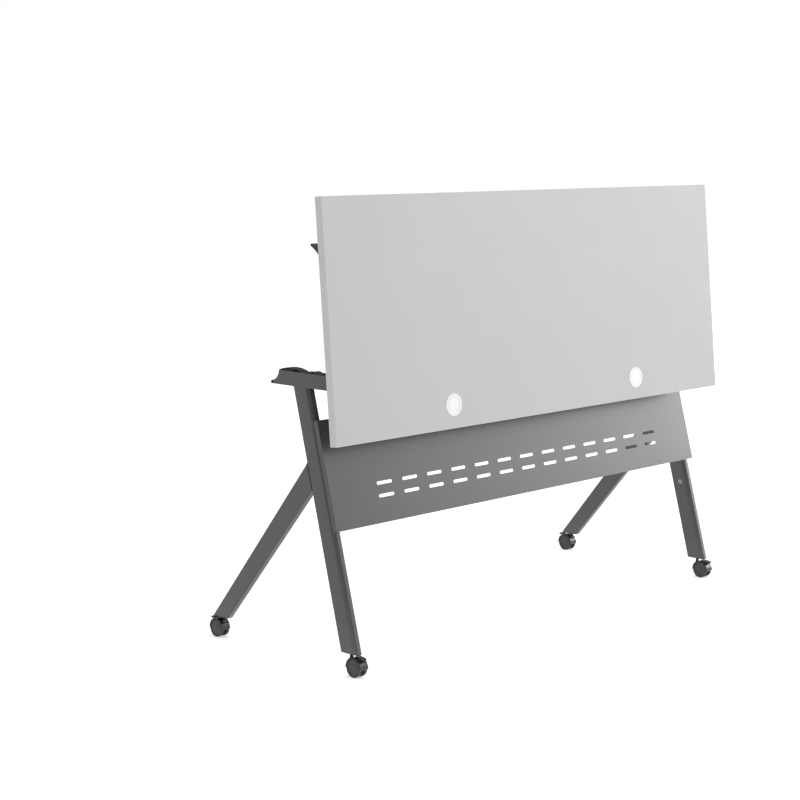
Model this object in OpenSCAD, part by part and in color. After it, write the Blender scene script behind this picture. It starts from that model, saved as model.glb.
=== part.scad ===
// Flip top training table, stored with its top upright.
// X is along the table, Y runs from the front casters to the rear ones, Z is up.
// Origin: on the floor, in the middle of the standing table.

/* [Worktop] */
// Length of the worktop
top_w = 1500; // [1200:50:1800]
// Depth of the worktop, front to back when in use
top_d = 580; // [560:5:620]
// Thickness of the worktop with its edge band
top_t = 22; // [20:1:28]
// Height of the work surface when in use
top_z = 742; // [736:1:750]
// Thickness of the plastic edge band
band_t = 1; // [0.8:0.2:2]

/* [Flip] */
// Angle from stored to in use
flip_angle = 85.1; // [80:0.1:88]
// Pivot line, measured back from the front edge of the worktop
pivot_inset = 142; // [140:1:150]
// Pivot line, measured down from the underside of the worktop
pivot_drop = 30.5; // [30.5:0.5:32]
// Pivot line, behind the front wheels
pivot_y = 69; // [66:1:70]

/* [Side frames] */
// Middle of each side frame, from the middle of the table
side_x = 692; // [640:1:700]
// Depth of the main leg tube, square to its length
leg_d = 54.5; // [53:0.5:56]
// Width of the leg tubes
leg_w = 20; // [20:1:22]
// Wall of the leg tubes
leg_wall = 1.5; // [1.2:0.1:2]
// Outside corner radius of the leg tubes
leg_r = 3.5; // [3:0.5:4]
// Length of the main leg's front part, which draws in towards its front face
nose_l = 17.5; // [15:0.5:19]
// Radius of the arcs that draw it in
nose_r = 45.5; // [44:0.5:60]
// Lean of the main leg from upright
leg_lean = 14.76; // [14:0.02:15]
// Underside of the leg tubes
foot_z = 55; // [54:0.5:57]
// Distance from front wheels to rear wheels
wheelbase = 504; // [500:1:510]

/* [Modesty panel] */
// Width of the panel
panel_w = 1413; // [1406:1:1420]
// Height of the panel, along its slope
panel_h = 267; // [250:1:280]
// Slots in one row
slot_count = 13; // [5:2:13]
// Distance from slot to slot
slot_pitch = 87.6; // [80:0.1:90]
// Length of a slot
slot_l = 52.5; // [40:0.5:60]
// Height of a slot
slot_h = 8; // [6:0.5:10]

/* [Cable grommets] */
// Middle of the left grommet, from the middle of the table
grommet_left_x = -348; // [-400:1:-300]
// Middle of the right grommet, from the middle of the table
grommet_right_x = 381; // [300:1:400]
// Middle of the grommets, back from the front edge of the worktop
grommet_inset = 58; // [50:1:70]
// Diameter of the grommet rim
grommet_d = 56; // [54:1:60]

/* [Casters] */
// Diameter of the wheels
wheel_d = 46; // [45:0.5:46.5]
// Width over both wheels of a caster
caster_w = 26; // [26:0.5:28]
// Distance from swivel stem to wheel axle
trail = 17.4; // [17:0.1:18]
// Diameter of the swivel stem
stem_d = 8; // [7.5:0.1:8]

/* [Hidden] */
$fn = 48;
eps = 0.01;
far = 2000;

// Colours
frame_grey = "#5d5d60";
black = "#1d1d1f";
laminate_grey = "#c8c8c8";
band_grey = "#bdbdbd";
white = "#f2f2f0";
zinc = "#b9bbbf";
rubber_black = "#141414";
wheel_grey = "#55565a";

// Worktop places, measured from the pivot line: u runs back, w runs up, when in use
pivot_z = top_z - top_t - pivot_drop;
top_front = -pivot_inset;
under = pivot_drop;
face = pivot_drop + top_t;

// Side frame heads
head_w = 24;
head_h = 35;
head_wall = 2.5;
head_low = pivot_z - head_h / 2;
head_top = pivot_z + head_h / 2;
head_end = 285;
head_cut_r = 29;
head_cut_z = head_top + 2;
keeper_y = 280.5;
keeper_z = head_low + 4.2;
keeper_r = 3;
floor_end = 268;
cavity_start = 88;
bush_r = 7;
bolt_r = 5;
pivot_fit = 0.05;

// Leg tubes are drawn longer than they are, then cut at the floor end and at the head
leg_over = 60;
leg_long = 780;

// Rear legs: where the upper and the lower edge meet the foot, and their slopes from upright
rear_top_foot = 517.7;
rear_low_foot = 462;
rear_top_slope = 39.3;
rear_low_slope = 40.6;
plug_top = 84;
plug_lip = 1.5;
plug_fit = 0.1;
plug_inset = 0.3;

// Cross beam under the heads' level
beam_y = 155;
beam_d = 40;
beam_h = 24;
beam_z = 680.5;
beam_wall = 1.5;
plate_t = 3;
plate_l = 70;
plate_bolt = 27;
m6_r = 3;

// Modesty panel, measured along and square to the main leg from the middle of its foot
panel_low = 284.4;
panel_depth = 13.5;
panel_t = 1.2;
panel_lip = 24;
slot_rows = [95.7, 64.7];
panel_screw_s = [310, 418, 526];
m5_r = 2.4;
screw_fit = 0.1;

// Threaded insert on the inner side of the main leg
insert_s = 223.6;
insert_r = 3;
insert_body_r = 4;
insert_l = 10;

// Arms under the worktop
arm_w = 33;
arm_t = 2.5;
arm_front = -60;
arm_back = 261;
arm_low = 6;
arm_boss_r = 15;
arm_screw_u = [-45, 45, 100, 195, 254];
pad_u = 145.5;

// Grommets: sleeve, its bore and rim, and the lid
sleeve_r = grommet_d / 2 - 3;
sleeve_bore_r = sleeve_r - 2;
rim_t = 2;
cap_t = 1.7;

// Release bar
lever_u = 236;
lever_w = 15;
lever_t = 6;
rod_r = 6;
lever_hub_r = 10;
grip_w = 22;
grip_t = 7;
grip_r = 78.4;
grip_centre = [24.1, -88.1];
grip_shift = 8;
grip_start = 82;
grip_stop = 30;

// Casters
axle_z = wheel_d / 2;
axle_r = 3;
wheel_fit = 0.05;
wheel_in = 5.4;
axle_grip = 5.2;
wheel_t = caster_w / 2 - wheel_in;
hood_in_r = wheel_d / 2 + 0.9;
hood_r = hood_in_r + 1.7;
hood_w = caster_w - 0.8;
web_w = 9.6;
boss_r = 5.3;
boss_top = 22;
stem_low = 10;
stem_top = 80;
stem_fit = 0.05;
brake_y = -14.5;
brake_z = 24.2;
brake_hub_r = 2.2;
brake_pin_r = 1.2;
brake_w = 11;
brake_reach = 29.5;

// Places and turns

// Puts what is drawn from the front wheels' line into the table's own frame
module stand() {
    translate([0, -wheelbase / 2, 0]) children();
}

// Draws the same thing on the left and on the right
module both_sides() {
    children();
    mirror([1, 0, 0]) children();
}

// An outline in Y and Z, drawn out along X about the middle of its width
module across(w) {
    rotate([90, 0, 90]) translate([0, 0, -w / 2]) linear_extrude(w) children();
}

// A round bar along X, about the middle of its length
module bar(r, l) {
    rotate([0, 90, 0]) cylinder(r = r, h = l, center = true);
}

// Along the main leg, from the middle of its foot
module along_leg() {
    translate([0, trail, foot_z]) rotate([-leg_lean, 0, 0]) children();
}

// The worktop as it lies in use, turned up about the pivot into its stored place
module stored() {
    stand() translate([0, pivot_y, pivot_z]) rotate([flip_angle, 0, 0]) children();
}

// What lies between two lines across an outline, one behind the other
module strip(y0, y1) {
    translate([-far / 2, y0]) square([far, y1 - y0]);
}

module rounded_box_outline(w, d, r) {
    square([w - 2 * r, d], center = true);
    square([w, d - 2 * r], center = true);
    for (x = [-1, 1], y = [-1, 1])
        translate([x * (w / 2 - r), y * (d / 2 - r)]) circle(r = r);
}

module slot_outline(l, h) {
    square([l - h, h], center = true);
    for (x = [-1, 1]) translate([x * (l - h) / 2, 0]) circle(d = h);
}

// Everything between two directions, under 90 degrees apart
module wedge(from, to) {
    polygon([[0, 0], far * [cos(from), sin(from)], far * [cos(to), sin(to)]]);
}

// Everything above one height and below another
module slab(z0, z1) {
    translate([-far / 2, -far / 2, z0]) cube([far, far, z1 - z0]);
}

// Side frames

// Section of the main leg: flat sides, drawn in by two long arcs to a narrow front face
module leg_outline(inset) {
    nose_y = nose_l - leg_d / 2;
    tip_y = leg_r - leg_d / 2;
    lap = 1;
    join_y = tip_y + lap / 2;
    tip_half = leg_w / 2 - nose_r + sqrt(pow(nose_r, 2) - pow(nose_y - join_y, 2)) - inset;
    depth = leg_d - 2 * inset;
    corner = leg_r - inset;
    intersection() {
        rounded_box_outline(leg_w - 2 * inset, depth, corner);
        strip(nose_y, leg_d);
    }
    intersection() {
        translate([nose_r - leg_w / 2, nose_y]) circle(r = nose_r - inset, $fn = 180);
        translate([leg_w / 2 - nose_r, nose_y]) circle(r = nose_r - inset, $fn = 180);
        strip(tip_y - lap, nose_y);
    }
    intersection() {
        rounded_box_outline(2 * tip_half, depth, corner);
        strip(-leg_d, join_y + lap);
    }
}

module leg_prism(inset) {
    along_leg() translate([0, 0, -leg_over]) linear_extrude(leg_long) leg_outline(inset);
}

module main_leg() {
    stand() translate([-side_x, 0, 0]) difference() {
        intersection() {
            leg_prism(0);
            slab(foot_z, head_low);
        }
        leg_prism(leg_wall);
        along_leg() {
            translate([leg_w / 2, 0, insert_s]) bar(insert_body_r + screw_fit / 2, 4 * leg_wall);
            for (s = panel_screw_s) translate([0, -leg_d / 2, s])
                rotate([90, 0, 0]) cylinder(r = m5_r + screw_fit, h = 4 * leg_wall, center = true);
        }
    }
}

// A rounded tube wall along one edge of the rear leg, on the side that sign says
module rear_edge(foot_y, slope, sign, inset) {
    depth = 90;
    translate([0, foot_y, foot_z]) rotate([slope, 0, 0])
        translate([0, sign * (depth / 2 + inset), -leg_over]) linear_extrude(leg_long)
            rounded_box_outline(leg_w - 2 * inset, depth, leg_r - inset / 2);
}

// The rear leg narrows to its foot, because its two edges have different slopes
module rear_prism(inset) {
    intersection() {
        rear_edge(rear_top_foot, rear_top_slope, -1, inset);
        rear_edge(rear_low_foot, rear_low_slope, 1, inset);
    }
}

module rear_leg() {
    stand() translate([-side_x, 0, 0]) difference() {
        intersection() {
            rear_prism(0);
            slab(foot_z, head_low);
            along_leg() translate([-leg_w, leg_d / 2, 0]) cube([2 * leg_w, far, far / 2]);
        }
        rear_prism(leg_wall);
    }
}

// The head's outline: round at the pivot, and scooped out at its back end
module head_outline() {
    difference() {
        union() {
            translate([pivot_y, pivot_z]) circle(r = head_h / 2, $fn = 96);
            translate([pivot_y, head_low]) square([head_end - pivot_y, head_h]);
        }
        translate([head_end + 0.5, head_cut_z]) circle(r = head_cut_r, $fn = 96);
    }
}

module head() {
    stand() translate([-side_x, 0, 0]) difference() {
        across(head_w) head_outline();
        translate([-(head_w / 2 - head_wall), cavity_start, head_low + head_wall])
            cube([head_w - 2 * head_wall, far, head_h]);
        translate([-(head_w / 2 - head_wall), floor_end, head_low - 1])
            cube([head_w - 2 * head_wall, far, head_h]);
        translate([0, pivot_y, pivot_z]) bar(bush_r + pivot_fit, head_w + 2);
        translate([0, keeper_y, keeper_z]) bar(keeper_r + 0.02, head_w + 2);
        for (y = [-1, 1])
            translate([head_w / 2, beam_y + y * plate_bolt, beam_z]) bar(m6_r + screw_fit, 12);
    }
}

module foot_plug(bore_y) {
    difference() {
        children();
        translate([0, bore_y, foot_z - 5])
            cylinder(r = stem_d / 2 + stem_fit, h = stem_top - foot_z + 6);
    }
}

module front_foot_plug() {
    stand() translate([-side_x, 0, 0]) foot_plug(trail) {
        intersection() {
            leg_prism(leg_wall + plug_fit);
            slab(foot_z - plug_lip, plug_top);
        }
        intersection() {
            leg_prism(plug_inset);
            slab(foot_z - plug_lip, foot_z);
        }
    }
}

module rear_foot_plug() {
    stand() translate([-side_x, 0, 0]) foot_plug(wheelbase - trail) {
        intersection() {
            rear_prism(leg_wall + plug_fit);
            slab(foot_z - plug_lip, plug_top);
        }
        intersection() {
            rear_prism(plug_inset);
            slab(foot_z - plug_lip, foot_z);
        }
    }
}

module cross_beam() {
    beam_l = 2 * (side_x - head_w / 2 - plate_t);
    color(frame_grey) stand() translate([0, beam_y, beam_z]) rotate([0, 90, 0])
        translate([0, 0, -beam_l / 2]) linear_extrude(beam_l) difference() {
            rounded_box_outline(beam_h, beam_d, 3);
            rounded_box_outline(beam_h - 2 * beam_wall, beam_d - 2 * beam_wall, 2);
        }
}

module beam_end_plate() {
    stand() translate([-side_x + head_w / 2, beam_y, beam_z]) difference() {
        translate([plate_t / 2, 0, 0]) across(plate_t) rounded_box_outline(plate_l, beam_h + 1, 4);
        for (y = [-1, 1]) translate([0, y * plate_bolt, 0]) bar(m6_r + screw_fit, 12);
    }
}

// M6 bolt through the end plate and the head's wall, with its nut inside the head
module beam_bolt() {
    head_t = 4;
    nut_t = 5;
    hex_r = 5.77;
    translate([plate_t + head_t / 2, 0, 0]) rotate([30, 0, 0]) rotate([0, 90, 0])
        cylinder(r = hex_r, h = head_t, center = true, $fn = 6);
    translate([plate_t - 6, 0, 0]) bar(m6_r, 12.1);
    translate([-head_wall - nut_t / 2, 0, 0]) rotate([30, 0, 0]) rotate([0, 90, 0]) difference() {
        cylinder(r = hex_r, h = nut_t, center = true, $fn = 6);
        cylinder(r = m6_r + 0.02, h = nut_t + 1, center = true);
    }
}

module beam_bolts() {
    color(zinc) both_sides() stand() for (y = [-1, 1])
        translate([-side_x + head_w / 2, beam_y + y * plate_bolt, beam_z]) beam_bolt();
}

// A tray of folded sheet: face, side flanges with inward lips, and a bottom flange
module modesty_panel() {
    front = -leg_d / 2 - panel_depth;
    color(frame_grey) stand() along_leg() translate([0, front, panel_low]) difference() {
        union() {
            translate([-panel_w / 2, 0, 0]) cube([panel_w, panel_t, panel_h]);
            translate([-panel_w / 2, 0, 0]) cube([panel_w, panel_depth - 2 * panel_t, panel_t]);
            both_sides() {
                translate([-panel_w / 2, 0, 0]) cube([panel_t, panel_depth, panel_h]);
                translate([-panel_w / 2, panel_depth - panel_t, 0]) cube([panel_lip, panel_t, panel_h]);
            }
        }
        for (z = slot_rows, i = [0 : slot_count - 1])
            translate([(i - (slot_count - 1) / 2) * slot_pitch, 0, z]) rotate([90, 0, 0])
                linear_extrude(10, center = true) slot_outline(slot_l, slot_h);
        for (x = [-1, 1], s = panel_screw_s)
            translate([x * side_x, panel_depth, s - panel_low]) rotate([90, 0, 0])
                cylinder(r = m5_r + screw_fit, h = 6, center = true);
    }
}

// M5 screw with a domed head, its head up and its shank down from z = 0
module button_screw(shank) {
    head_r = 4.5;
    head_t = 2.6;
    dome_r = 6;
    intersection() {
        cylinder(r = head_r, h = head_t);
        translate([0, 0, head_t - dome_r]) sphere(r = dome_r);
    }
    translate([0, 0, -shank]) cylinder(r = m5_r, h = shank + eps);
}

// Screws that hold the panel's lips on the main legs
module panel_screws() {
    color(zinc) both_sides() stand() along_leg() for (s = panel_screw_s)
        translate([-side_x, -leg_d / 2 - panel_t, s]) rotate([90, 0, 0]) button_screw(8);
}

module keeper_pin() {
    stand() translate([-side_x, keeper_y, keeper_z]) {
        bar(keeper_r, head_w + 0.1);
        for (x = [-1, 1]) translate([x * (head_w / 2 + 0.6), 0, 0]) bar(keeper_r + 0.7, 1.2);
    }
}

// Curved steel leaf on top of the head, which cushions the arm when the top comes down
module rest_leaf_outline() {
    leaf_from = 171;
    leaf_to = 258;
    leaf_rise = 8.6;
    arc_r = 124;
    gap_y = 198;
    gap_rise = 4.6;
    gap_r = 24;
    difference() {
        intersection() {
            translate([(leaf_from + leaf_to) / 2, head_top + leaf_rise - arc_r])
                circle(r = arc_r, $fn = 180);
            translate([leaf_from, head_top]) square([leaf_to - leaf_from, 2 * leaf_rise]);
        }
        translate([gap_y, head_top + gap_rise - gap_r]) circle(r = gap_r, $fn = 96);
    }
}

module rest_leaf() {
    stand() translate([-side_x, 0, 0]) across(head_w - 3) rest_leaf_outline();
}

// Short leaf with a hump beside the pivot, against which the arm's heel snaps when stored
module detent_leaf_outline() {
    leaf_from = 100;
    leaf_l = 63;
    leaf_t = 3;
    hump_y = 137;
    hump_rise = 5.6;
    hump_r = 26;
    translate([leaf_from, head_top]) square([leaf_l, leaf_t]);
    intersection() {
        translate([hump_y, head_top + hump_rise - hump_r]) circle(r = hump_r, $fn = 96);
        translate([leaf_from, head_top]) square([leaf_l, 2 * hump_rise]);
    }
}

module detent_leaf() {
    stand() translate([-side_x, 0, 0]) across(head_w - 3) detent_leaf_outline();
}

// Threaded insert with a thin flange, in the inner side of the main leg
module leg_nutsert() {
    flange_r = 5.5;
    flange_t = 1;
    stand() translate([-side_x + leg_w / 2, 0, 0]) along_leg() translate([0, 0, insert_s])
        rotate([0, 90, 0]) difference() {
            union() {
                translate([0, 0, flange_t - insert_l]) cylinder(r = insert_body_r, h = insert_l);
                cylinder(r = flange_r, h = flange_t);
            }
            translate([0, 0, -insert_l]) cylinder(r = insert_r, h = 2 * insert_l);
        }
}

// Flanged plain bush, one pressed into each side of a head
module pivot_bush() {
    flange_r = 10.5;
    flange_t = 1.7;
    half_gap = 0.5;
    rotate([0, 90, 0]) difference() {
        union() {
            translate([0, 0, half_gap]) cylinder(r = bush_r, h = head_w / 2 - half_gap + eps);
            translate([0, 0, head_w / 2]) cylinder(r = flange_r, h = flange_t);
        }
        cylinder(r = bolt_r + pivot_fit, h = head_w);
    }
}

module pivot_bushes() {
    color(black) both_sides() stand() translate([-side_x, pivot_y, pivot_z]) both_sides() pivot_bush();
}

// Rubber stop on the front of the head, against which the arm rests when stored
module stored_stop() {
    stop_r = 5;
    stop_drop = -11.5;
    arm_gap = 1.3;
    reach = under - arm_t - arm_gap;
    stand() translate([-side_x, pivot_y, pivot_z]) difference() {
        translate([0, 0, stop_drop]) rotate([flip_angle, 0, 0]) cylinder(r = stop_r, h = reach);
        bar(head_h / 2, head_w);
    }
}

// Worktop

// Stepped holes for the two grommets
module grommet_holes() {
    for (x = [grommet_left_x, grommet_right_x]) translate([x, top_front + grommet_inset, 0]) {
        cylinder(r = sleeve_r + 0.05, h = 100);
        translate([0, 0, face - rim_t - 0.1]) cylinder(r = grommet_d / 2 + 0.1, h = 10);
    }
}

module worktop_board() {
    color(laminate_grey) stored() difference() {
        translate([-top_w / 2 + band_t, top_front + band_t, under])
            cube([top_w - 2 * band_t, top_d - 2 * band_t, top_t]);
        grommet_holes();
        for (x = [-1, 1], u = arm_screw_u)
            translate([x * side_x, u, under - 1]) cylinder(r = m5_r + screw_fit / 2, h = 15);
    }
}

module edge_band() {
    color(band_grey) stored() {
        for (y = [top_front, top_front + top_d - band_t])
            translate([-top_w / 2 + band_t, y, under]) cube([top_w - 2 * band_t, band_t, top_t]);
        for (x = [-top_w / 2, top_w / 2 - band_t])
            translate([x, top_front, under]) cube([band_t, top_d, top_t]);
    }
}

module arm_outline() {
    circle(r = arm_boss_r, $fn = 64);
    polygon([
        [arm_front, under], [arm_front, 22], [-14, 0], [14, 0], [40, arm_low],
        [arm_back - 15, arm_low], [arm_back, 16], [arm_back, under]
    ]);
}

// Folded steel channel that straddles the head
module arm() {
    stored() translate([-side_x, 0, 0]) difference() {
        across(arm_w) arm_outline();
        translate([-arm_w / 2 + arm_t, arm_front - 1, -arm_boss_r - 1])
            cube([arm_w - 2 * arm_t, arm_back - arm_front + 2, under - arm_t + arm_boss_r + 1]);
        bar(bolt_r + pivot_fit, arm_w + 2);
        translate([0, lever_u, lever_w]) bar(rod_r + 0.06, arm_w + 2);
        for (u = arm_screw_u) translate([0, u, 0]) cylinder(r = m5_r + screw_fit, h = under + 1);
    }
}

module arm_screws() {
    color(zinc) both_sides() stored() for (u = arm_screw_u)
        translate([-side_x, u, under - arm_t]) rotate([180, 0, 0]) button_screw(13);
}

// Shoulder bolt through the arm and the bushes, and its lock nut on the inner side
module pivot_bolt() {
    head_r = 8;
    head_t = 4.5;
    hex_r = 9;
    nut_t = 7;
    translate([-arm_w / 2 - head_t / 2, 0, 0]) bar(head_r, head_t);
    bar(bolt_r, arm_w + 0.1);
    translate([arm_w / 2 + nut_t / 2, 0, 0]) rotate([0, 90, 0])
        cylinder(r = hex_r, h = nut_t, center = true, $fn = 6);
}

module pivot_bolts() {
    color(zinc) both_sides() stored() translate([-side_x, 0, 0]) pivot_bolt();
}

// Rubber pad inside the arm, over the rest leaf's hump
module stop_pads() {
    pad = [16, 28, 1];
    color(rubber_black) both_sides() stored()
        translate([-side_x - pad.x / 2, pad_u - pad.y / 2, under - arm_t - pad.z]) cube(pad);
}

// Sleeve through the board, with a flat rim let into its face
module grommet_sleeve(x) {
    below = 3;
    seat_z = face - cap_t - 0.2;
    color(white) stored() translate([x, top_front + grommet_inset, 0]) difference() {
        union() {
            translate([0, 0, under - below]) cylinder(r = sleeve_r, h = top_t + below - 0.1);
            translate([0, 0, face - rim_t - 0.1]) cylinder(r = grommet_d / 2, h = rim_t);
        }
        cylinder(r = sleeve_bore_r, h = 100);
        translate([0, 0, seat_z]) cylinder(r = sleeve_bore_r + 1.2, h = 10);
    }
}

// Lid with a thin skirt, and a ring cut into its face
module grommet_cap(x) {
    cap_r = sleeve_bore_r + 0.9;
    skirt_r = sleeve_bore_r - 0.35;
    skirt_l = 5;
    skirt_t = 1.5;
    ring_r = cap_r - 4;
    ring_depth = 0.4;
    color(white) stored() translate([x, top_front + grommet_inset, face - cap_t - 0.1]) difference() {
        union() {
            cylinder(r = cap_r, h = cap_t);
            translate([0, 0, -skirt_l]) cylinder(r = skirt_r, h = skirt_l + eps);
        }
        translate([0, 0, -skirt_l - 1]) cylinder(r = skirt_r - skirt_t, h = skirt_l + 1);
        translate([0, 0, cap_t - ring_depth]) difference() {
            cylinder(r = ring_r, h = 1);
            translate([0, 0, -1]) cylinder(r = ring_r - 1, h = 3);
        }
    }
}

// Moulded cup round the rod that holds the lever's return spring
module spring_cup() {
    cup_r = 12;
    cup_l = 10.4;
    stored() translate([-side_x + arm_w / 2 - arm_t - cup_l / 2, lever_u, lever_w]) difference() {
        bar(cup_r, cup_l);
        bar(rod_r + 0.3, cup_l + 2);
    }
}

// Release bar, drawn from the middle of its rod

keeper_from_rod = [keeper_y - pivot_y - lever_u, keeper_z - pivot_z - lever_w];

// Lever whose fan shaped hook turns round the rod and closes under the head's keeper pin
module lever_outline() {
    reach = norm(keeper_from_rod);
    to_keeper = 180 + atan(keeper_from_rod.y / keeper_from_rod.x);
    slot_r = keeper_r + 0.6;
    way_r = slot_r - 0.1;
    fan_r = reach + keeper_r + 6;
    fan_angle = 30;
    beak = to_keeper - 4;
    tail = [[0, -9], [30, -16], [40, -12], [34, -4], [5, 7.5]];
    difference() {
        union() {
            circle(r = lever_hub_r);
            intersection() {
                circle(r = fan_r, $fn = 96);
                wedge(beak, beak + fan_angle);
            }
            polygon(tail);
        }
        intersection() {
            difference() {
                circle(r = reach + way_r, $fn = 96);
                circle(r = reach - way_r, $fn = 96);
            }
            wedge(beak - fan_angle, to_keeper);
        }
        translate(keeper_from_rod) circle(r = slot_r);
        circle(r = rod_r + 0.05);
    }
}

module release_lever() {
    stored() translate([-side_x, lever_u, lever_w]) across(lever_t) lever_outline();
}

// Curved finger grip moulded over the lever's end
module grip_outline() {
    translate(grip_centre) intersection() {
        difference() {
            circle(r = grip_r + grip_t / 2, $fn = 180);
            circle(r = grip_r - grip_t / 2, $fn = 180);
        }
        wedge(grip_stop, grip_start);
    }
    translate(grip_centre + grip_r * [cos(grip_stop), sin(grip_stop)]) circle(r = grip_t / 2 - 0.05);
}

module lever_grip() {
    stored() translate([-side_x, lever_u, lever_w]) difference() {
        translate([-grip_shift, 0, 0]) across(grip_w) grip_outline();
        across(lever_t + 0.1) lever_outline();
    }
}

module sync_rod() {
    color(frame_grey) stored() translate([0, lever_u, lever_w]) bar(rod_r, 2 * side_x + arm_w);
}

// Casters, drawn from the middle of the axle, with the stem behind it at y = trail

module caster_place(x_side, y_side) {
    stem_y = y_side < 0 ? trail : wheelbase - trail;
    stand() translate([x_side * side_x, stem_y, axle_z]) rotate([0, 0, y_side < 0 ? 0 : 180])
        translate([0, -trail, 0]) children();
}

// Ear that carries the brake lever's pin
module hood_ear() {
    ear_r = 2.6;
    ear_t = 2.2;
    ear_low = 18;
    translate([brake_w / 2 + ear_t / 2 + 0.5, 0, 0]) difference() {
        across(ear_t) {
            translate([brake_y, brake_z]) circle(r = ear_r);
            polygon([
                [brake_y - ear_r, brake_z], [brake_y + ear_r, brake_z],
                [brake_y + 2 * ear_r, ear_low], [brake_y - 1, ear_low]
            ]);
        }
        translate([0, brake_y, brake_z]) bar(brake_pin_r + 0.1, 4);
        bar(hood_in_r, 10);
    }
}

// Moulded body: a half shell over the wheels, a middle web and the stem's boss
module hood() {
    low = -1;
    hub_r = 11;
    rim_r = 1.3;
    color(black) difference() {
        union() {
            difference() {
                bar(hood_r, hood_w);
                bar(hood_in_r, hood_w + 1);
                slab(low - far, low);
            }
            intersection() {
                bar(hood_in_r + 0.5, web_w);
                union() {
                    slab(low, far);
                    bar(hub_r, web_w);
                }
            }
            difference() {
                translate([0, trail, 4]) cylinder(r = boss_r, h = boss_top - 4);
                bar(hood_in_r, hood_w);
            }
            both_sides() hood_ear();
            for (y = [-1, 1]) translate([0, y * (hood_r - 0.4), low + 0.4]) bar(rim_r, hood_w);
        }
        bar(axle_r + 0.02, web_w + 2);
        translate([0, trail, stem_low]) cylinder(r = stem_d / 2 + 0.02, h = 40);
    }
}

module stem() {
    color(zinc) translate([0, trail, stem_low]) cylinder(d = stem_d, h = stem_top - axle_z - stem_low);
}

module axle() {
    color(zinc) bar(axle_r, 2 * (wheel_in + axle_grip));
}

// Hollow moulded wheel with a raised rim and hub cap on its outer face
module wheel(side) {
    r = wheel_d / 2;
    t = wheel_t;
    bore = axle_r + wheel_fit;
    hub_r = 7;
    cap_r = 8.4;
    tyre_t = 4.6;
    dish = 1;
    skin = t - 3.8;
    ease = 0.8;
    color(wheel_grey) mirror([side < 0 ? 1 : 0, 0, 0]) translate([wheel_in, 0, 0]) rotate([0, 90, 0])
        rotate_extrude($fn = 96) polygon([
            [0, t - 2], [bore, t - 2], [bore, 0], [hub_r, 0], [hub_r, skin],
            [r - tyre_t, skin], [r - tyre_t, 0], [r - ease, 0], [r, ease], [r, t - ease],
            [r - ease, t], [r - tyre_t, t], [r - tyre_t - dish, t - dish],
            [cap_r + dish, t - dish], [cap_r, t - 0.2], [0, t - 0.2]
        ]);
}

// Foot lever on its pin, with a round tip seen from above
module brake() {
    tip_r = 7.5;
    color(black) {
        intersection() {
            across(2 * tip_r) {
                translate([brake_y, brake_z]) circle(r = brake_hub_r);
                polygon([
                    [brake_y, brake_z + brake_hub_r], [-brake_reach, brake_z + 0.4],
                    [-brake_reach - 1, brake_z - brake_hub_r], [-brake_reach + 6, brake_z - 2.8],
                    [brake_y - 0.4, brake_z - brake_hub_r]
                ]);
            }
            union() {
                translate([-brake_w / 2, -20, 0]) cube([brake_w, 20, 40]);
                translate([0, tip_r - brake_reach, 0]) cylinder(r = tip_r, h = 40);
            }
        }
        translate([0, brake_y, brake_z]) bar(brake_pin_r, brake_w + 5);
    }
}

// Left and right of the side frames and the arms

module main_leg_left() { color(frame_grey) main_leg(); }
module main_leg_right() { color(frame_grey) mirror([1, 0, 0]) main_leg(); }
module rear_leg_left() { color(frame_grey) rear_leg(); }
module rear_leg_right() { color(frame_grey) mirror([1, 0, 0]) rear_leg(); }
module head_left() { color(frame_grey) head(); }
module head_right() { color(frame_grey) mirror([1, 0, 0]) head(); }
module front_foot_plugs() { color(black) both_sides() front_foot_plug(); }
module rear_foot_plugs() { color(black) both_sides() rear_foot_plug(); }
module beam_end_plates() { color(frame_grey) both_sides() beam_end_plate(); }
module keeper_pins() { color(black) both_sides() keeper_pin(); }
module rest_leaves() { color(black) both_sides() rest_leaf(); }
module detent_leaves() { color(black) both_sides() detent_leaf(); }
module leg_nutserts() { color(zinc) both_sides() leg_nutsert(); }
module stored_stops() { color(rubber_black) both_sides() stored_stop(); }
module arm_left() { color(frame_grey) arm(); }
module arm_right() { color(frame_grey) mirror([1, 0, 0]) arm(); }
module spring_cups() { color(black) both_sides() spring_cup(); }
module release_lever_left() { color(black) release_lever(); }
module release_lever_right() { color(black) mirror([1, 0, 0]) release_lever(); }
module lever_grip_left() { color(black) lever_grip(); }
module lever_grip_right() { color(black) mirror([1, 0, 0]) lever_grip(); }

main_leg_left();
main_leg_right();
rear_leg_left();
rear_leg_right();
head_left();
head_right();
front_foot_plugs();
rear_foot_plugs();
cross_beam();
beam_end_plates();
beam_bolts();
modesty_panel();
panel_screws();
keeper_pins();
rest_leaves();
detent_leaves();
leg_nutserts();
pivot_bushes();
stored_stops();
worktop_board();
edge_band();
arm_left();
arm_right();
arm_screws();
pivot_bolts();
stop_pads();
grommet_sleeve(grommet_left_x);  // grommet_sleeve_left
grommet_sleeve(grommet_right_x);  // grommet_sleeve_right
spring_cups();
grommet_cap(grommet_left_x);  // grommet_cap_left
grommet_cap(grommet_right_x);  // grommet_cap_right
release_lever_left();
release_lever_right();
lever_grip_left();
lever_grip_right();
sync_rod();
caster_place(-1, -1) hood();  // front_left_hood
caster_place(-1, -1) stem();  // front_left_stem
caster_place(-1, -1) axle();  // front_left_axle
caster_place(-1, -1) wheel(-1);  // front_left_wheel_outer
caster_place(-1, -1) wheel(1);  // front_left_wheel_inner
caster_place(-1, -1) brake();  // front_left_brake
caster_place(1, -1) hood();  // front_right_hood
caster_place(1, -1) stem();  // front_right_stem
caster_place(1, -1) axle();  // front_right_axle
caster_place(1, -1) wheel(1);  // front_right_wheel_outer
caster_place(1, -1) wheel(-1);  // front_right_wheel_inner
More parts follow.
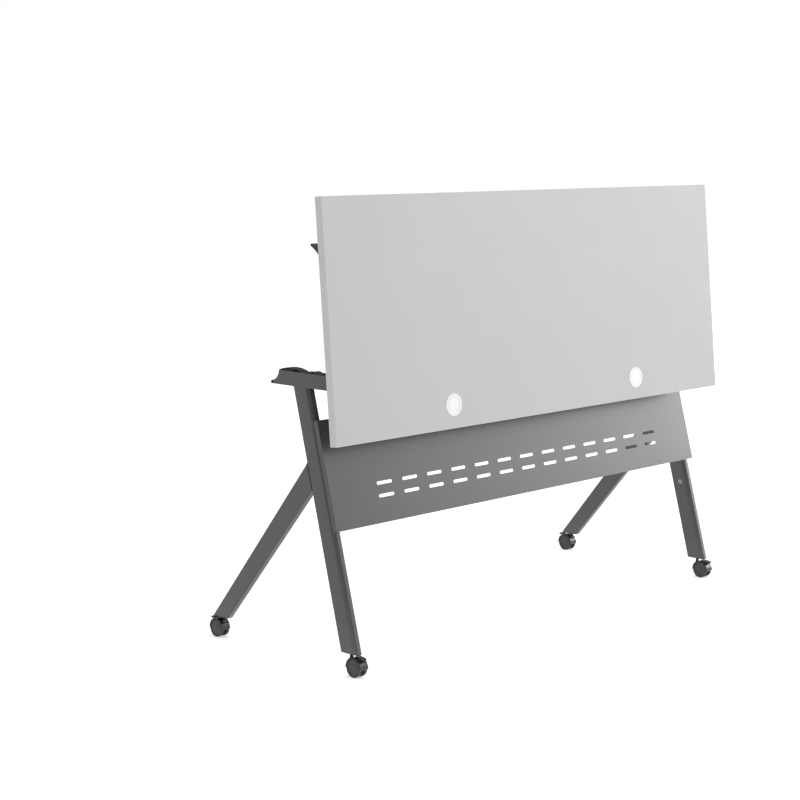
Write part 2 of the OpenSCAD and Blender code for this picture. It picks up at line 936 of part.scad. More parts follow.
caster_place(1, -1) brake();  // front_right_brake
caster_place(-1, 1) hood();  // rear_left_hood
caster_place(-1, 1) stem();  // rear_left_stem
caster_place(-1, 1) axle();  // rear_left_axle
caster_place(-1, 1) wheel(1);  // rear_left_wheel_outer
caster_place(-1, 1) wheel(-1);  // rear_left_wheel_inner
caster_place(-1, 1) brake();  // rear_left_brake
caster_place(1, 1) hood();  // rear_right_hood
caster_place(1, 1) stem();  // rear_right_stem
caster_place(1, 1) axle();  // rear_right_axle
caster_place(1, 1) wheel(-1);  // rear_right_wheel_outer
caster_place(1, 1) wheel(1);  // rear_right_wheel_inner
caster_place(1, 1) brake();  // rear_right_brake
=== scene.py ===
"""Flip top training table, its top stored upright, on sloping frames and twin wheel casters."""
import math

import bpy
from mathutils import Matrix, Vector, geometry


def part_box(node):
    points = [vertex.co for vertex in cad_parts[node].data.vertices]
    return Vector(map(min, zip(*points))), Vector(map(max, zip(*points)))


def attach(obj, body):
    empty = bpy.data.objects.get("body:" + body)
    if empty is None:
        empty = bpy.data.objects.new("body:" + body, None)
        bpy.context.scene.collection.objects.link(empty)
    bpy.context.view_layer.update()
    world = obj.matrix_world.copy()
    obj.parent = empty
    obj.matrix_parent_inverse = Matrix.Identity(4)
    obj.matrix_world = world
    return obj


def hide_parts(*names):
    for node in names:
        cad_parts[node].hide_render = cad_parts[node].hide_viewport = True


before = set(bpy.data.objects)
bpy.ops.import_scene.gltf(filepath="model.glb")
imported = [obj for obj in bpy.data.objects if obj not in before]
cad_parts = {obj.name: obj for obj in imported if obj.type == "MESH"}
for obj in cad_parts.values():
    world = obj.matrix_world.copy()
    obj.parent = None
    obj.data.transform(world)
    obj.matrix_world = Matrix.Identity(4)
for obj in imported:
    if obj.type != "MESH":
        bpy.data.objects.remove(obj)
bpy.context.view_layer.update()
bpy.ops.object.select_all(action="DESELECT")

# Camera, floor and light
# The camera stands level with the stored top, in front of its left end, with a long lens. Two wide
# softboxes to the right light the front faces, smaller ones the ends and the top, and a dome fills
# in over a pale floor. A dark card to the left deepens the left faces.
CAMERA_PLACE = (-3.5734, -3.2586, 1.2602)
CAMERA_YAW = 45.181
CAMERA_PITCH = 5.7
CAMERA_LENS = 81.54
CAMERA_SHIFT = -0.1
SENSOR_WIDTH = 36
NEAREST_SEEN = 0.05
FURTHEST_SEEN = 200
# Each softbox has a name, a place, a point that it faces, the length of its sides, and its watts.
SOFTBOXES = (
    ("key_softbox", (8.2, -3.4, 2.6), (0.2, 0, 0.55), 3.6, 228),
    ("front_softbox", (6.6, -5.1, 2.7), (0.2, 0, 0.55), 4.4, 130),
    ("side_softbox", (-3.4, 3.2, 1.6), (0, 0, 0.5), 1.6, 10),
    ("fill_softbox", (-2.6, -5.2, 2.0), (-0.4, 0, 0.7), 1.6, 24),
    ("top_softbox", (0, -0.6, 3.6), (0, 0, 0.4), 2.5, 30),
)
DOME_STRENGTH = 0.62
BACKDROP_STRENGTH = 1.0
FLOOR_REACH = 40
FLOOR_GLOW = 0.42
CARD_PLACE = (-2.5, -0.1, 0.9)
CARD_TURN = math.radians(92)
CARD_SIZE = (1.7, 1.8, 1)

bpy.ops.object.camera_add(
    location=CAMERA_PLACE,
    rotation=(math.radians(90 - CAMERA_PITCH), 0, -math.radians(CAMERA_YAW)),
)
camera = bpy.context.object
camera.data.sensor_width = SENSOR_WIDTH
camera.data.lens = CAMERA_LENS
camera.data.shift_y = CAMERA_SHIFT
camera.data.clip_start = NEAREST_SEEN
camera.data.clip_end = FURTHEST_SEEN
bpy.context.scene.camera = camera


def linear(colour):
    """The linear light values of an sRGB hex colour."""
    parts = [int(colour[i:i + 2], 16) / 255 for i in (1, 3, 5)]
    return [p / 12.92 if p <= 0.04045 else ((p + 0.055) / 1.055) ** 2.4 for p in parts] + [1.0]


def add_node(tree, kind, settings=None, links=None):
    """A node with its settings, and with its inputs linked to other nodes' outputs."""
    new = tree.nodes.new(kind)
    for name, value in (settings or {}).items():
        if name in new.inputs:
            new.inputs[name].default_value = value
        else:
            setattr(new, name, value)
    for name, output in (links or {}).items():
        tree.links.new(output, new.inputs[name])
    return new


def stage_paint(piece, name, settings):
    """Gives a piece of the stage one even material."""
    paint = bpy.data.materials.new(name)
    paint.use_nodes = True
    for socket, value in settings.items():
        paint.node_tree.nodes["Principled BSDF"].inputs[socket].default_value = value
    piece.data.materials.append(paint)


for name, place, aim, size, watts in SOFTBOXES:
    bpy.ops.object.light_add(type="AREA", location=place)
    light = bpy.context.object
    light.name = name
    light.rotation_euler = (Vector(aim) - Vector(place)).to_track_quat("-Z", "Y").to_euler()
    light.data.size = size
    light.data.energy = watts

world = bpy.data.worlds.new("pale_studio")
bpy.context.scene.world = world
world.use_nodes = True
sky = world.node_tree
sky.nodes.clear()
white = linear("#ffffff")
seen = add_node(sky, "ShaderNodeLightPath")
dome = add_node(sky, "ShaderNodeBackground", {"Color": white, "Strength": DOME_STRENGTH})
backdrop = add_node(sky, "ShaderNodeBackground", {"Color": white, "Strength": BACKDROP_STRENGTH})
either = add_node(sky, "ShaderNodeMixShader", links={"Fac": seen.outputs["Is Camera Ray"]})
sky.links.new(dome.outputs[0], either.inputs[1])
sky.links.new(backdrop.outputs[0], either.inputs[2])
add_node(sky, "ShaderNodeOutputWorld", links={"Surface": either.outputs[0]})
bpy.context.scene.view_settings.view_transform = "Standard"

bpy.ops.mesh.primitive_circle_add(
    vertices=64, radius=FLOOR_REACH, fill_type="NGON", location=(0, 0, 0)
)
floor = bpy.context.object
floor.name = "floor"
stage_paint(floor, "white_studio_floor", {
    "Base Color": white, "Roughness": 0.9, "Emission Color": white, "Emission Strength": FLOOR_GLOW,
})

bpy.ops.mesh.primitive_plane_add(size=1, location=CARD_PLACE, rotation=(math.pi / 2, 0, CARD_TURN))
card = bpy.context.object
card.name = "dark_card"
card.scale = CARD_SIZE
card.visible_camera = False
stage_paint(card, "black_felt", {"Base Color": linear("#0c0c0c"), "Roughness": 1.0})

# Side frames: two main legs, two rear legs and two heads
# Seamed steel tube cut on the slope, and folded heads with a round pivot end and a scooped back
# end. They are welded into one frame on each side, then powder coated dark grey and baked.
MM = 0.001
TUBE_EASE = 0.3 * MM
HEAD_EASE = 0.6 * MM
MERGE = 0.02 * MM
SMOOTH_BELOW = math.radians(35)
EASED_ABOVE = math.radians(40)
FLAT_WITHIN = math.radians(0.5)
NOISE_LOW, NOISE_HIGH = 0.2, 0.8
RUBS_PER_PATCH = 2.6
BUMP_STRENGTH = 0.5
DUST = "#8a8884"
DUST_SPECKS = 260.0


def finish(name, shades, patch, gloss, grain, depth, settings=None):
    """A material whose shade and roughness drift over patches, with a grain over its face.

    The sizes of the patches and of the grain, and the grain's depth, are in millimetres. A grain
    is finer than this in life, and is drawn two to five times as coarse, so that it shows.
    """
    made = bpy.data.materials.new(name)
    made.use_nodes = True
    tree = made.node_tree
    shader = tree.nodes["Principled BSDF"]
    for socket, value in (settings or {}).items():
        shader.inputs[socket].default_value = value
    coords = add_node(tree, "ShaderNodeTexCoord").outputs["Object"]
    per_patch = 1 / (patch * MM)
    per_grain = 1 / (grain * MM)
    patches = add_node(
        tree, "ShaderNodeTexNoise", {"Scale": per_patch, "Detail": 4.0}, {"Vector": coords}
    )
    shade = add_node(tree, "ShaderNodeValToRGB", links={"Fac": patches.outputs["Fac"]})
    for stop, place, colour in zip(shade.color_ramp.elements, (NOISE_LOW, NOISE_HIGH), shades):
        stop.position, stop.color = place, linear(colour)
    rubs = add_node(
        tree, "ShaderNodeTexNoise", {"Scale": RUBS_PER_PATCH * per_patch, "Detail": 5.0},
        {"Vector": coords},
    )
    sheen = add_node(
        tree, "ShaderNodeMapRange",
        {"From Min": NOISE_LOW, "From Max": NOISE_HIGH, "To Min": gloss[0], "To Max": gloss[1]},
        {"Value": rubs.outputs["Fac"]},
    )
    grains = add_node(
        tree, "ShaderNodeTexNoise", {"Scale": per_grain, "Detail": 2.0}, {"Vector": coords}
    )
    relief = add_node(
        tree, "ShaderNodeBump", {"Strength": BUMP_STRENGTH, "Distance": depth * MM},
        {"Height": grains.outputs["Fac"]},
    )
    tree.links.new(shade.outputs["Color"], shader.inputs["Base Color"])
    tree.links.new(sheen.outputs["Result"], shader.inputs["Roughness"])
    tree.links.new(relief.outputs["Normal"], shader.inputs["Normal"])
    return made


def dusty(material, top, share):
    """Adds the dust that gathers on a surface near the floor, up to the height given in mm."""
    tree = material.node_tree
    shader = tree.nodes["Principled BSDF"]
    coords = add_node(tree, "ShaderNodeTexCoord").outputs["Object"]
    height = add_node(tree, "ShaderNodeSeparateXYZ", links={"Vector": coords})
    low = add_node(
        tree, "ShaderNodeMapRange",
        {"From Min": 0.0, "From Max": top * MM, "To Min": share, "To Max": 0.0},
        {"Value": height.outputs["Z"]},
    )
    specks = add_node(
        tree, "ShaderNodeTexNoise", {"Scale": DUST_SPECKS, "Detail": 6.0}, {"Vector": coords}
    )
    patchy = add_node(tree, "ShaderNodeMath", {"operation": "MULTIPLY"}, {0: low.outputs["Result"]})
    tree.links.new(specks.outputs["Fac"], patchy.inputs[1])
    laid = add_node(tree, "ShaderNodeMixRGB", {"Color2": linear(DUST)}, {"Fac": patchy.outputs[0]})
    tree.links.new(shader.inputs["Base Color"].links[0].from_socket, laid.inputs["Color1"])
    tree.links.new(laid.outputs["Color"], shader.inputs["Base Color"])


def select_only(piece):
    bpy.ops.object.select_all(action="DESELECT")
    piece.select_set(True)
    bpy.context.view_layer.objects.active = piece


def settled(piece, material, body, slot, *nodes):
    """Smooths a piece's round faces, keeps its flat ones flat, gives it its material, and says what
    it rides on.
    """
    select_only(piece)
    bpy.ops.object.shade_smooth_by_angle(angle=SMOOTH_BELOW)
    flat = piece.modifiers.new("flat", "WEIGHTED_NORMAL")
    flat.keep_sharp = True
    bpy.ops.object.modifier_apply(modifier="flat")
    piece.data.materials.clear()
    piece.data.materials.append(material)
    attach(piece, body)
    if nodes:
        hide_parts(*nodes)


def eased(node, width, segments=2, merge=MERGE):
    """A copy of a part with its triangles joined into faces and its sharp edges rounded off."""
    piece = bpy.data.objects.new(node + "_finished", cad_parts[node].data.copy())
    bpy.context.collection.objects.link(piece)
    select_only(piece)
    bpy.ops.object.mode_set(mode="EDIT")
    bpy.ops.mesh.select_all(action="SELECT")
    bpy.ops.mesh.remove_doubles(threshold=merge)
    bpy.ops.mesh.dissolve_limited(angle_limit=FLAT_WITHIN)
    bpy.ops.object.mode_set(mode="OBJECT")
    bevel = piece.modifiers.new("ease", "BEVEL")
    bevel.width = width
    bevel.segments = segments
    bevel.limit_method = "ANGLE"
    bevel.angle_limit = EASED_ABOVE
    bpy.ops.object.modifier_apply(modifier="ease")
    return piece


# Polyester powder: it melts into a satin film whose orange peel is about 1 mm across. It is drawn
# at 3 mm, so that it shows. The film's shade drifts, and rubbed places are a little glossier.
powder_coat = finish(
    "dark_grey_powder_coat", ("#353537", "#38383a"), patch=400, gloss=(0.27, 0.31), grain=3,
    depth=0.04, settings={"IOR": 1.5, "Specular IOR Level": 0.7},
)
dusty(powder_coat, top=130, share=0.25)

for side in ("left", "right"):
    for part, width in (("main_leg", TUBE_EASE), ("rear_leg", TUBE_EASE), ("head", HEAD_EASE)):
        node = f"{part}_{side}"
        settled(eased(node, width), powder_coat, "frame", "frame_steel", node)

# Weld beads under the heads and where the rear legs meet the main legs
# A bead of weld metal runs all round each joint, in overlapping ripples, under the powder coat.
# Each follows the outline of the tube end that it joins.
LEG_LEAN = math.radians(14.76)
LEG_FOOT = (-0.2346, 0.055)
LEG_HALF_DEPTH = 27.25 * MM
HEAD_LOW = 0.672
TOUCH = 0.05 * MM
BEAD_R = 1.5 * MM
BEAD_STEP = 2.6 * MM
BEAD_DIP = 0.82


def bead(name, outline):
    """A rippled bead along a closed outline."""
    path = []
    for here, there in zip(outline, outline[1:] + outline[:1]):
        steps = max(1, round((there - here).length / BEAD_STEP))
        path += [here.lerp(there, i / steps) for i in range(steps)]
    drawn = bpy.data.curves.new(name, "CURVE")
    drawn.dimensions = "3D"
    drawn.bevel_depth = BEAD_R
    drawn.bevel_resolution = 2
    line = drawn.splines.new("POLY")
    line.points.add(len(path) - 1)
    line.use_cyclic_u = True
    for i, (point, place) in enumerate(zip(line.points, path)):
        point.co = (*place, 1.0)
        point.radius = 1.0 if i % 2 else BEAD_DIP
    piece = bpy.data.objects.new(name, drawn)
    bpy.context.collection.objects.link(piece)
    select_only(piece)
    bpy.ops.object.convert(target="MESH")
    settled(bpy.context.object, powder_coat, "frame", "frame_steel")


def outline_of(places, flatten):
    """The outer outline of some places that lie in one plane."""
    flat = [flatten(p) for p in places]
    return [places[i] for i in geometry.convex_hull_2d(flat)]


def leg_depth(p):
    """How far a place lies behind the middle line of the main legs."""
    back, up = p.y - LEG_FOOT[0], p.z - LEG_FOOT[1]
    return back * math.cos(LEG_LEAN) - up * math.sin(LEG_LEAN)


for side in ("left", "right"):
    corners = [v.co.copy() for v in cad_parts[f"main_leg_{side}"].data.vertices]
    tube_top = [v for v in corners if v.z > HEAD_LOW - TOUCH]
    bead(f"head_weld_{side}", outline_of(tube_top, lambda p: (p.x, p.y)))
    corners = [v.co.copy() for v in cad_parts[f"rear_leg_{side}"].data.vertices]
    butt = [v for v in corners if abs(leg_depth(v) - LEG_HALF_DEPTH) < TOUCH]
    bead(f"rear_weld_{side}", outline_of(butt, lambda p: (p.x, p.z)))

# Cross beam with its end plates
# Rectangular steel tube with a laser cut plate welded on each end. It ties the two heads together,
# and is powder coated with the side frames.
for node in ("cross_beam", "beam_end_plates"):
    settled(eased(node, TUBE_EASE), powder_coat, "frame", "frame_steel", node)

# Modesty panel
# Sheet steel 1.2 mm thick with two rows of punched slots. Its sides are folded back and inwards,
# its lower edge is folded back, and it is screwed on the fronts of the main legs.
PANEL_EASE = 0.45 * MM
panel = eased("modesty_panel", PANEL_EASE, segments=3)
settled(panel, powder_coat, "frame", "frame_steel", "modesty_panel")

# Zinc plated fasteners: beam bolts, threaded inserts, panel screws, arm screws and pivot bolts
# Bright zinc is plated on cold headed steel. The domed screws and the pivot bolts have hexagon
# sockets, and the inserts are crimped into the inner sides of the main legs.
SCREW_SOCKET = (1.73 * MM, 1.5 * MM)
PIVOT_SOCKET = (3.46 * MM, 2.8 * MM)
SIDE_X = 0.692
PIVOT = (-0.183, 0.6895)
FLIP = math.radians(85.1)
PANEL_SCREW_PLACES = (310, 418, 526)
PANEL_SCREW_TOP = 3.8 * MM
ARM_SCREW_PLACES = (-45, 45, 100, 195, 254)
ARM_SCREW_TOP = 25.4 * MM
PIVOT_BOLT_TOP = 21 * MM
NUT_EASE = 0.25 * MM
SCREW_EASE = 0.15 * MM
PIVOT_BOLT_EASE = 0.5 * MM

# The plate's shade drifts between cool and warm. It is bright, with soft, fine marks of handling.
zinc_plate = finish(
    "bright_zinc_plate", ("#a9abb0", "#bfc0bf"), patch=30, gloss=(0.22, 0.36), grain=1.2,
    depth=0.01, settings={"Metallic": 1.0},
)


def stored_place(x, u, w):
    """Where a place is while the top is stored: u back and w up from the pivot line in use."""
    return Vector((
        x, PIVOT[0] + u * math.cos(FLIP) - w * math.sin(FLIP),
        PIVOT[1] + u * math.sin(FLIP) + w * math.cos(FLIP),
    ))


def leg_place(x, depth, along):
    """A place measured from the middle of the main leg's foot, square to the leg and along it."""
    return Vector((
        x, LEG_FOOT[0] + depth * math.cos(LEG_LEAN) + along * math.sin(LEG_LEAN),
        LEG_FOOT[1] - depth * math.sin(LEG_LEAN) + along * math.cos(LEG_LEAN),
    ))


def joined(pieces):
    """Joins pieces into the first of them."""
    bpy.ops.object.select_all(action="DESELECT")
    for piece in pieces:
        piece.select_set(True)
    bpy.context.view_layer.objects.active = pieces[0]
    bpy.ops.object.join()
    return bpy.context.object


def cut_out(piece, cutters):
    """Cuts the shapes of some cutters out of a piece."""
    tool = joined(cutters)
    select_only(piece)
    cut = piece.modifiers.new("cut", "BOOLEAN")
    cut.operation = "DIFFERENCE"
    cut.solver = "EXACT"
    cut.object = tool
    bpy.ops.object.modifier_apply(modifier="cut")
    bpy.data.objects.remove(tool)


def cut_sockets(piece, places, turn, socket):
    """Cuts a hexagon socket at each place. The turn tips its axis over from upright."""
    across, deep = socket
    cutters = []
    for place in places:
        bpy.ops.mesh.primitive_cylinder_add(
            vertices=6, radius=across, depth=2 * deep, location=place, rotation=turn
        )
        cutters.append(bpy.context.object)
    cut_out(piece, cutters)


for node in ("beam_bolts", "leg_nutserts"):
    settled(eased(node, NUT_EASE), zinc_plate, "frame", "zinc_steel", node)

panel_screws = eased("panel_screws", SCREW_EASE)
screw_tops = [
    leg_place(x, -LEG_HALF_DEPTH - PANEL_SCREW_TOP, along * MM)
    for x in (-SIDE_X, SIDE_X) for along in PANEL_SCREW_PLACES
]
cut_sockets(panel_screws, screw_tops, (math.pi / 2 - LEG_LEAN, 0, 0), SCREW_SOCKET)
settled(panel_screws, zinc_plate, "frame", "zinc_steel", "panel_screws")

arm_screws = eased("arm_screws", SCREW_EASE)
screw_tops = [
    stored_place(x, u * MM, ARM_SCREW_TOP) for x in (-SIDE_X, SIDE_X) for u in ARM_SCREW_PLACES
]
cut_sockets(arm_screws, screw_tops, (FLIP, 0, 0), SCREW_SOCKET)
settled(arm_screws, zinc_plate, "worktop", "zinc_steel", "arm_screws")

pivot_bolts = eased("pivot_bolts", PIVOT_BOLT_EASE)
bolt_tops = [Vector((x, *PIVOT)) for x in (-SIDE_X - PIVOT_BOLT_TOP, SIDE_X + PIVOT_BOLT_TOP)]
cut_sockets(pivot_bolts, bolt_tops, (0, math.pi / 2, 0), PIVOT_SOCKET)
settled(pivot_bolts, zinc_plate, "worktop", "zinc_steel", "pivot_bolts")

# Keeper pins, rest leaves and detent leaves on the heads
# Turned pins and pressed spring steel leaves, blackened in a hot oxide bath and oiled. The leaves
# take the arms as the top comes down, and the release levers hook under the pins.
LEAF_EASE = 0.3 * MM

# Oxide is near black and even, with a low sheen that the oil leaves uneven.
black_oxide = finish(
    "black_oxide_steel", ("#0d0d0e", "#141415"), patch=40, gloss=(0.45, 0.6), grain=1.5,
    depth=0.02, settings={"Specular IOR Level": 0.3},
)
for node in ("keeper_pins", "rest_leaves", "detent_leaves"):
    settled(eased(node, LEAF_EASE), black_oxide, "frame", "black_steel", node)

# Bushes in the heads, plugs in the tubes' feet, and spring cups in the arms
# Moulded black nylon with a fine spark eroded texture. The bushes and plugs are pressed in, and the
# cups hold the return springs round the rod.
BUSH_EASE = 0.3 * MM
CUP_EASE = 0.4 * MM

# Spark erosion leaves pits of about 0.3 mm. They are drawn at 1 mm, so that they show close up.
black_nylon = finish(
    "textured_black_nylon", ("#1c1c1d", "#222224"), patch=25, gloss=(0.42, 0.55), grain=1,
    depth=0.03,
)
for node in ("pivot_bushes", "front_foot_plugs", "rear_foot_plugs"):
    settled(eased(node, BUSH_EASE), black_nylon, "frame", "black_plastic", node)
settled(eased("spring_cups", CUP_EASE), black_nylon, "worktop", "black_plastic", "spring_cups")

# Rubber stops on the heads and rubber pads in the arms
# Moulded black rubber, dull, with a bloom that pales it in places. They are stuck on, and soften
# the stop at either end of the top's travel.
STOP_EASE = 0.5 * MM
PAD_EASE = 0.2 * MM

black_rubber = finish(
    "black_rubber", ("#131313", "#1d1d1c"), patch=12, gloss=(0.72, 0.9), grain=0.8, depth=0.03
)
settled(eased("stored_stops", STOP_EASE), black_rubber, "frame", "rubber", "stored_stops")
settled(eased("stop_pads", PAD_EASE), black_rubber, "worktop", "rubber", "stop_pads")

# Worktop board
# Particleboard faced on both sides with light grey melamine, pressed hot against a textured plate.
# It is cut to size and drilled from below, and has two stepped holes for the grommets.
BOARD_EASE = 0.15 * MM

# The plate leaves a pearl texture of about 0.5 mm, drawn at 2 mm so that it shows. The paper under
# the resin is printed in one plain grey that clouds a little, and hands leave soft, low marks.
melamine = finish(
    "light_grey_melamine", ("#aeaeae", "#b0b0b0"), patch=260, gloss=(0.5, 0.58), grain=2,
    depth=0.02, settings={"Specular IOR Level": 0.4},
)
settled(eased("worktop_board", BOARD_EASE), melamine, "worktop", "laminate", "worktop_board")

# Edge band
# Extruded light grey ABS strip 1 mm thick, glued on hot and trimmed flush with a small radius.
# It is a little glossier than the faces, with a fine grain from the die.
BAND_EASE = 0.4 * MM

# Painted light: the strip's grey is lighter than the faces' grey, to lift its dimly lit left end.
band_plastic_with_painted_light = finish(
    "light_grey_band_with_painted_light", ("#c8c8c8", "#cccccc"), patch=120, gloss=(0.36, 0.46), grain=1.5,
    depth=0.01,
)
settled(eased("edge_band", BAND_EASE), band_plastic_with_painted_light, "worktop", "edge_band", "edge_band")

# Arms under the worktop
# Channels folded from 2.5 mm steel that straddle the heads, with the powder coat of the frame.
# Five screws hold each on the board, and the top turns on the bolts through their round ends.
ARM_EASE = 0.6 * MM

for side in ("left", "right"):
    node = f"arm_{side}"
    settled(eased(node, ARM_EASE), powder_coat, "worktop", "frame_steel", node)

# Cable grommets: a sleeve through the board and a loose lid, on the left and on the right
# Injection moulded white ABS. The sleeve's rim is let into the board's face, and the lid sits in it
# on a thin skirt, with a ring cut into its face.
GROMMET_X = {"left": -0.348, "right": 0.381}
LID_PLACE = (-84 * MM, 50.7 * MM)
TURN_STEPS = 96
SLEEVE_EASE = 0.3 * MM

# Polished moulds give a soft gloss. The white drifts a little, as it does when ABS ages.
white_abs = finish(
    "white_abs", ("#dcdcda", "#e0e0df"), patch=20, gloss=(0.24, 0.34), grain=1, depth=0.01
)
LID_PROFILE = [
    (1.2, 0), (1.25, 10), (1.5, 17.6), (1.4, 17.9), (0.6, 18.1), (0.6, 19.6), (1.4, 19.8),
    (1.6, 20.1), (1.7, 20.6), (1.7, 23.3), (1.62, 23.7), (1.3, 23.9), (0.1, 23.9), (0, 23.8),
    (0, 22.65), (-4.7, 22.65), (-5, 22.4), (-5, 21.4), (-4.7, 21.15), (0, 21.15), (0, 0),
]


def turned(name, profile, centre, axis):
    """A closed profile of (along, radius) pairs in millimetres, spun about an axis."""
    along = Vector(axis).normalized()
    out = along.orthogonal().normalized()
    places = [centre + along * a * MM + out * r * MM for a, r in profile]
    drawn = bpy.data.meshes.new(name)
    drawn.from_pydata(places, [(i, (i + 1) % len(places)) for i in range(len(places))], [])
    piece = bpy.data.objects.new(name, drawn)
    bpy.context.collection.objects.link(piece)
    select_only(piece)
    bpy.ops.object.mode_set(mode="EDIT")
    bpy.ops.mesh.select_all(action="SELECT")
    bpy.ops.mesh.spin(steps=TURN_STEPS, angle=2 * math.pi, center=centre, axis=along)
    bpy.ops.mesh.select_all(action="SELECT")
    bpy.ops.mesh.remove_doubles(threshold=MERGE / 2)
    bpy.ops.mesh.select_all(action="SELECT")
    bpy.ops.mesh.delete_loose()
    bpy.ops.mesh.select_all(action="SELECT")
    bpy.ops.mesh.normals_make_consistent(inside=False)
    bpy.ops.object.mode_set(mode="OBJECT")
    return piece


for side, x in GROMMET_X.items():
    node = f"grommet_sleeve_{side}"
    settled(eased(node, SLEEVE_EASE), white_abs, "worktop", "grommet_white", node)
    board_normal = stored_place(0, 0, 1) - stored_place(0, 0, 0)
    lid = turned(f"grommet_lid_{side}", LID_PROFILE, stored_place(x, *LID_PLACE), board_normal)
    settled(lid, white_abs, f"grommet_lid_{side}", "grommet_white", f"grommet_cap_{side}")

# Release bar: two levers on a rod, each with a finger grip
# The levers are cut from thick steel and blackened, with hooks for the keeper pins. The rod is
# powder coated tube, so that one hand frees both sides. The grips are black nylon, moulded on.
GRIP_CENTRE = (24.1, -88.1)
GRIP_OUTER_R = 81.9
GRIP_GROOVES = (38, 43, 48, 53, 58)
GROOVE_R = 1.1 * MM
GROOVE_LONG = 30 * MM
ROD_PLACE = (236, 15)
LEVER_EASE = 0.4 * MM
GRIP_EASE = 1.2 * MM
ROD_EASE = 0.8 * MM
LEVER_MERGE = 0.15 * MM

for side in ("left", "right"):
    node = f"release_lever_{side}"
    lever = eased(node, LEVER_EASE, merge=LEVER_MERGE)
    settled(lever, black_oxide, "release_bar", "black_steel", node)
    node = f"lever_grip_{side}"
    grip = eased(node, GRIP_EASE, segments=3, merge=LEVER_MERGE)
    middle = (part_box(node)[0][0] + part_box(node)[1][0]) / 2
    cutters = []
    for angle in GRIP_GROOVES:
        u = ROD_PLACE[0] + GRIP_CENTRE[0] + GRIP_OUTER_R * math.cos(math.radians(angle))
        w = ROD_PLACE[1] + GRIP_CENTRE[1] + GRIP_OUTER_R * math.sin(math.radians(angle))
        bpy.ops.mesh.primitive_cylinder_add(
            vertices=16, radius=GROOVE_R, depth=GROOVE_LONG, rotation=(0, math.pi / 2, 0),
            location=stored_place(middle, u * MM, w * MM),
        )
        cutters.append(bpy.context.object)
    cut_out(grip, cutters)
    settled(grip, black_nylon, "release_bar", "black_plastic", node)
settled(eased("sync_rod", ROD_EASE), powder_coat, "release_bar", "frame_steel", "sync_rod")

# Casters: hoods, stems, axles, and brake levers with three ribs for the toe
# The hood is black nylon moulded to a high gloss, and it grips a black stem that is pressed into
# the leg's plug. The axle runs through its middle, and the brake lever snaps between two ears.
# Each corner has its side in X and in Y.
CASTERS = {
    "front_left": (-1, -1), "front_right": (1, -1), "rear_left": (-1, 1), "rear_right": (1, 1),
}
AXLE_Y = 0.252
AXLE_Z = 0.023
RIB_PLACES = ((-21, 25.2), (-23.5, 25.05), (-26, 24.9))
RIB_R = 0.55 * MM
RIB_LONG = 9 * MM
HOOD_EASE = 0.35 * MM
STEM_EASE = 0.5 * MM
AXLE_EASE = 0.3 * MM
BRAKE_EASE = 0.4 * MM

# A polished mould gives the hood its gloss. Fine scratches from floors and shoes dull it low down.
gloss_nylon = finish(
    "glossy_black_nylon", ("#0b0b0c", "#101011"), patch=18, gloss=(0.14, 0.26), grain=1,
    depth=0.008, settings={"Specular IOR Level": 0.6},
)
dusty(gloss_nylon, top=60, share=0.2)

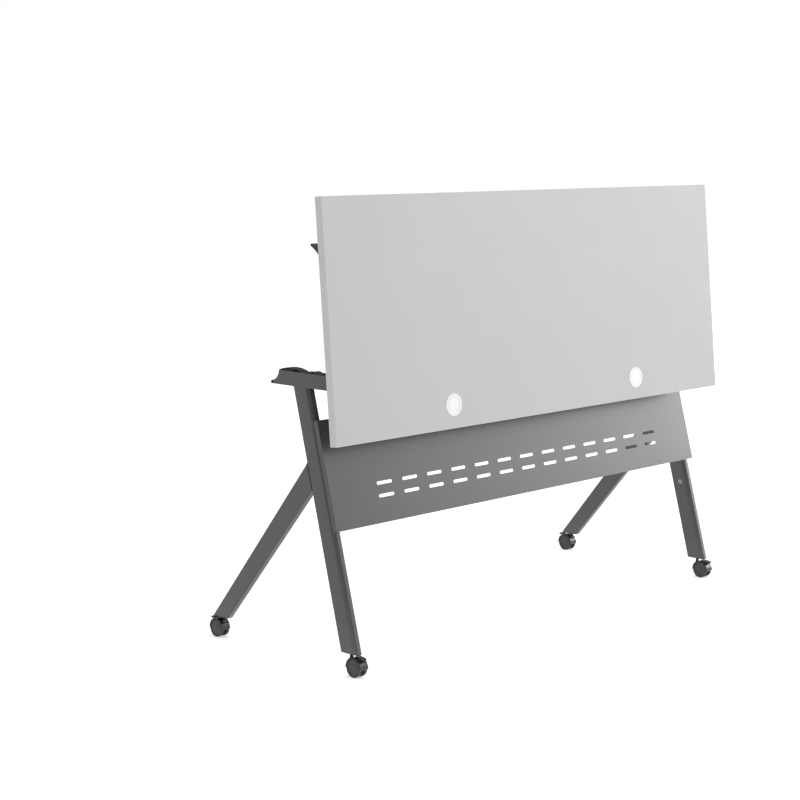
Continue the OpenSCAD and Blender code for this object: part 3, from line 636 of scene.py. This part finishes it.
for corner, (x_side, y_side) in CASTERS.items():
    body = f"{corner}_caster"
    for part, width, material, slot in (
        ("hood", HOOD_EASE, gloss_nylon, "black_plastic"),
        ("stem", STEM_EASE, black_oxide, "black_steel"),
        ("axle", AXLE_EASE, zinc_plate, "zinc_steel"),
    ):
        node = f"{corner}_{part}"
        settled(eased(node, width), material, body, slot, node)
    lever = eased(f"{corner}_brake", BRAKE_EASE)
    ribs = [lever]
    for y, z in RIB_PLACES:
        bpy.ops.mesh.primitive_cylinder_add(
            vertices=16, radius=RIB_R, depth=RIB_LONG, rotation=(0, math.pi / 2, 0),
            location=(x_side * SIDE_X, y_side * (AXLE_Y - y * MM), AXLE_Z + z * MM),
        )
        ribs.append(bpy.context.object)
    settled(
        joined(ribs), black_nylon, f"{corner}_brake_lever", "black_plastic", f"{corner}_brake"
    )

# Wheels, two to a caster
# Each is a dark grey nylon centre with rings turned into its mould, inside a darker, softer tyre
# moulded round it. It runs on the axle, and a hub cap closes its outer face.
TYRE_PROFILE = [
    (0, 18.5), (0, 22.1), (0.25, 22.7), (0.8, 23), (3.2, 23), (3.5, 22.8), (4.1, 22.8), (4.4, 23),
    (6.8, 23), (7.35, 22.7), (7.6, 22.1), (7.6, 19.2), (7.35, 18.7), (6.9, 18.4), (0.3, 18.4),
]
CENTRE_PROFILE = [
    (0, 3.1), (0, 6.8), (0.2, 7), (3.8, 7), (3.8, 18.35), (6.6, 18.35), (6.75, 18.1), (6.75, 17.4),
    (6.45, 17.1), (6.45, 15.4), (6.7, 15.1), (6.7, 14.3), (6.45, 14), (6.45, 12.3), (6.7, 12),
    (6.7, 11.2), (6.45, 10.9), (6.45, 9.6), (7, 9.3), (7.3, 8.7), (7.4, 8), (7.4, 3.4), (7.1, 3),
    (7.1, 0), (5.6, 0), (5.6, 3.1),
]

# The centre is satin moulded nylon. The tyre is dull, and floors scuff it paler in patches.
wheel_nylon = finish(
    "dark_grey_nylon", ("#303133", "#38393b"), patch=14, gloss=(0.32, 0.45), grain=1, depth=0.015
)
tyre_nylon = finish(
    "soft_black_tyre", ("#151516", "#202020"), patch=7, gloss=(0.5, 0.7), grain=0.8, depth=0.03
)
dusty(tyre_nylon, top=50, share=0.3)

for corner, (x_side, y_side) in CASTERS.items():
    for which, out in (("outer", x_side), ("inner", -x_side)):
        node = f"{corner}_wheel_{which}"
        low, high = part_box(node)
        inside = low[0] if out > 0 else high[0]
        centre = Vector((inside, y_side * AXLE_Y, AXLE_Z))
        body = f"{corner}_{which}_wheel"
        tyre = turned(f"{corner}_{which}_tyre", TYRE_PROFILE, centre, (out, 0, 0))
        settled(tyre, tyre_nylon, body, "wheel_nylon", node)
        middle = turned(f"{corner}_{which}_centre", CENTRE_PROFILE, centre, (out, 0, 0))
        settled(middle, wheel_nylon, body, "wheel_nylon", node)
